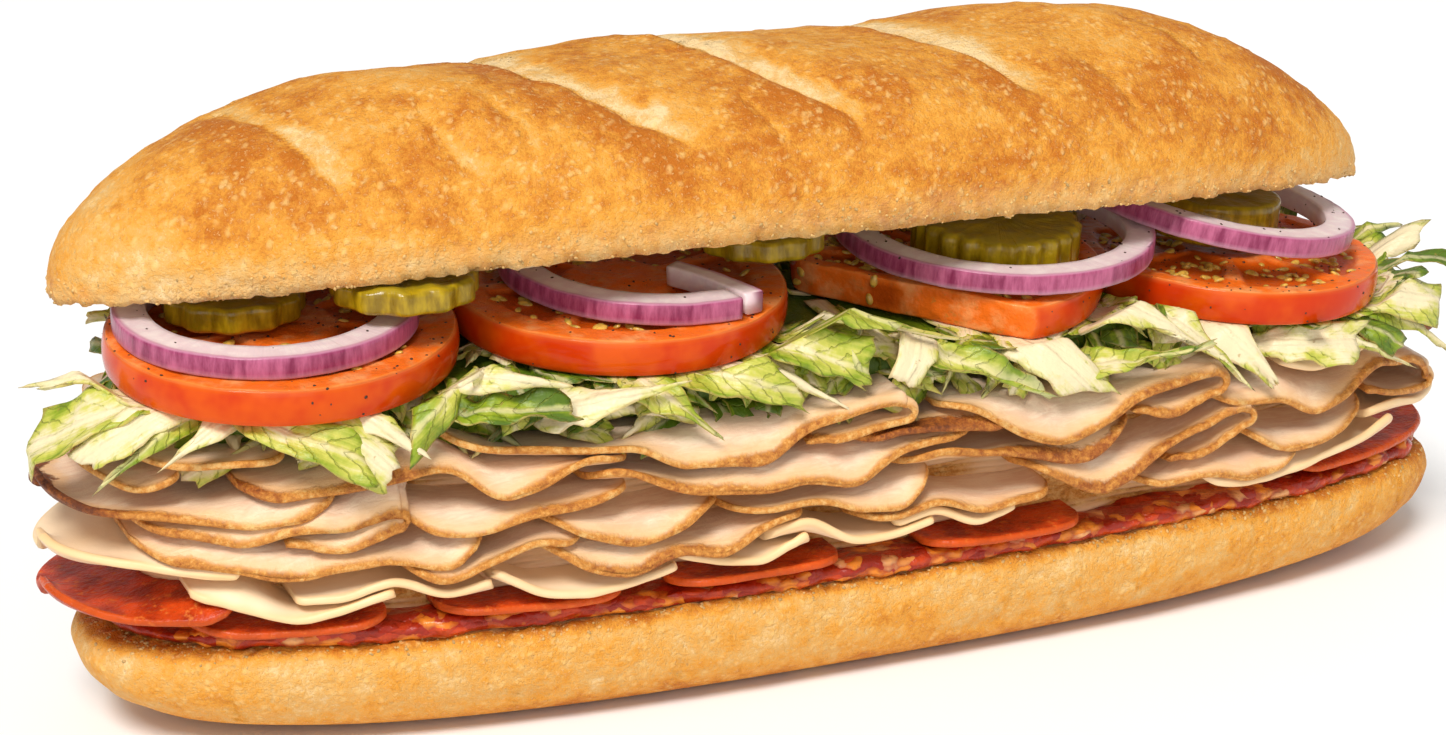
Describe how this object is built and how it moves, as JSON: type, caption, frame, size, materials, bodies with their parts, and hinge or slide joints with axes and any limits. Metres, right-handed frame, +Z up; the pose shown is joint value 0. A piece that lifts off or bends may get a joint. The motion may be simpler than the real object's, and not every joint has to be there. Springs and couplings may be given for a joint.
{
  "type": "submarine sandwich",
  "caption": "Long bread roll cut lengthwise and heaped with turkey, cheese, pepperoni, shredded lettuce, tomato, red onion and pickles.",
  "frame": {"origin": "under the middle of the whole sandwich, at the height of the flat foot of the roll", "axes": "+X along the roll to the right as seen from its open front, +Y to the back of the roll, +Z up; the open front faces -Y"},
  "size_m": [0.3088, 0.092, 0.1228],
  "materials": {
    "crust": "baked wheat crust, satin",
    "sauce": "thick red relish, wet gloss",
    "pepperoni": "cured sausage, oily sheen",
    "cheese": "sliced mild cheese, satin",
    "turkey": "sliced roast turkey breast with browned rim, moist satin",
    "lettuce": "shredded iceberg lettuce, fresh satin",
    "tomato": "fresh tomato, wet gloss",
    "onion": "red onion, wet gloss",
    "pickle": "pickled cucumber, wet gloss"
  },
  "bodies": {
    "root": {"bun_bottom": "crust", "bun_top": "crust", "sauce_layer": "sauce", "pepperoni_slice_01": "pepperoni", "pepperoni_slice_02": "pepperoni", "pepperoni_slice_03": "pepperoni", "pepperoni_slice_04": "pepperoni", "pepperoni_slice_05": "pepperoni", "pepperoni_slice_06": "pepperoni", "cheese_slice_01": "cheese", "cheese_slice_02": "cheese", "cheese_slice_03": "cheese", "cheese_slice_04": "cheese", "cheese_slice_05": "cheese", "cheese_slice_06": "cheese", "cheese_slice_07": "cheese", "cheese_slice_08": "cheese", "cheese_slice_09": "cheese", "cheese_slice_10": "cheese", "turkey_slice_01": "turkey", "turkey_slice_02": "turkey", "turkey_slice_03": "turkey", "turkey_slice_04": "turkey", "turkey_slice_05": "turkey", "turkey_slice_06": "turkey", "turkey_slice_07": "turkey", "turkey_slice_08": "turkey", "turkey_slice_09": "turkey", "turkey_slice_10": "turkey", "turkey_slice_11": "turkey", "turkey_slice_12": "turkey", "turkey_slice_13": "turkey", "turkey_slice_14": "turkey", "turkey_slice_15": "turkey", "turkey_slice_16": "turkey", "turkey_slice_17": "turkey", "turkey_slice_18": "turkey", "turkey_slice_19": "turkey", "turkey_slice_20": "turkey", "turkey_slice_21": "turkey", "turkey_slice_22": "turkey", "lettuce": "lettuce", "tomato_slice_1": "tomato", "tomato_slice_2": "tomato", "tomato_slice_3": "tomato", "tomato_slice_4": "tomato", "onion_ring_1": "onion", "onion_ring_2": "onion", "onion_ring_3": "onion", "onion_ring_4": "onion", "onion_end": "onion", "pickle_slice_1": "pickle", "pickle_slice_2": "pickle", "pickle_slice_3": "pickle", "pickle_slice_4": "pickle", "pickle_slice_5": "pickle"}
  },
  "joints": []
}
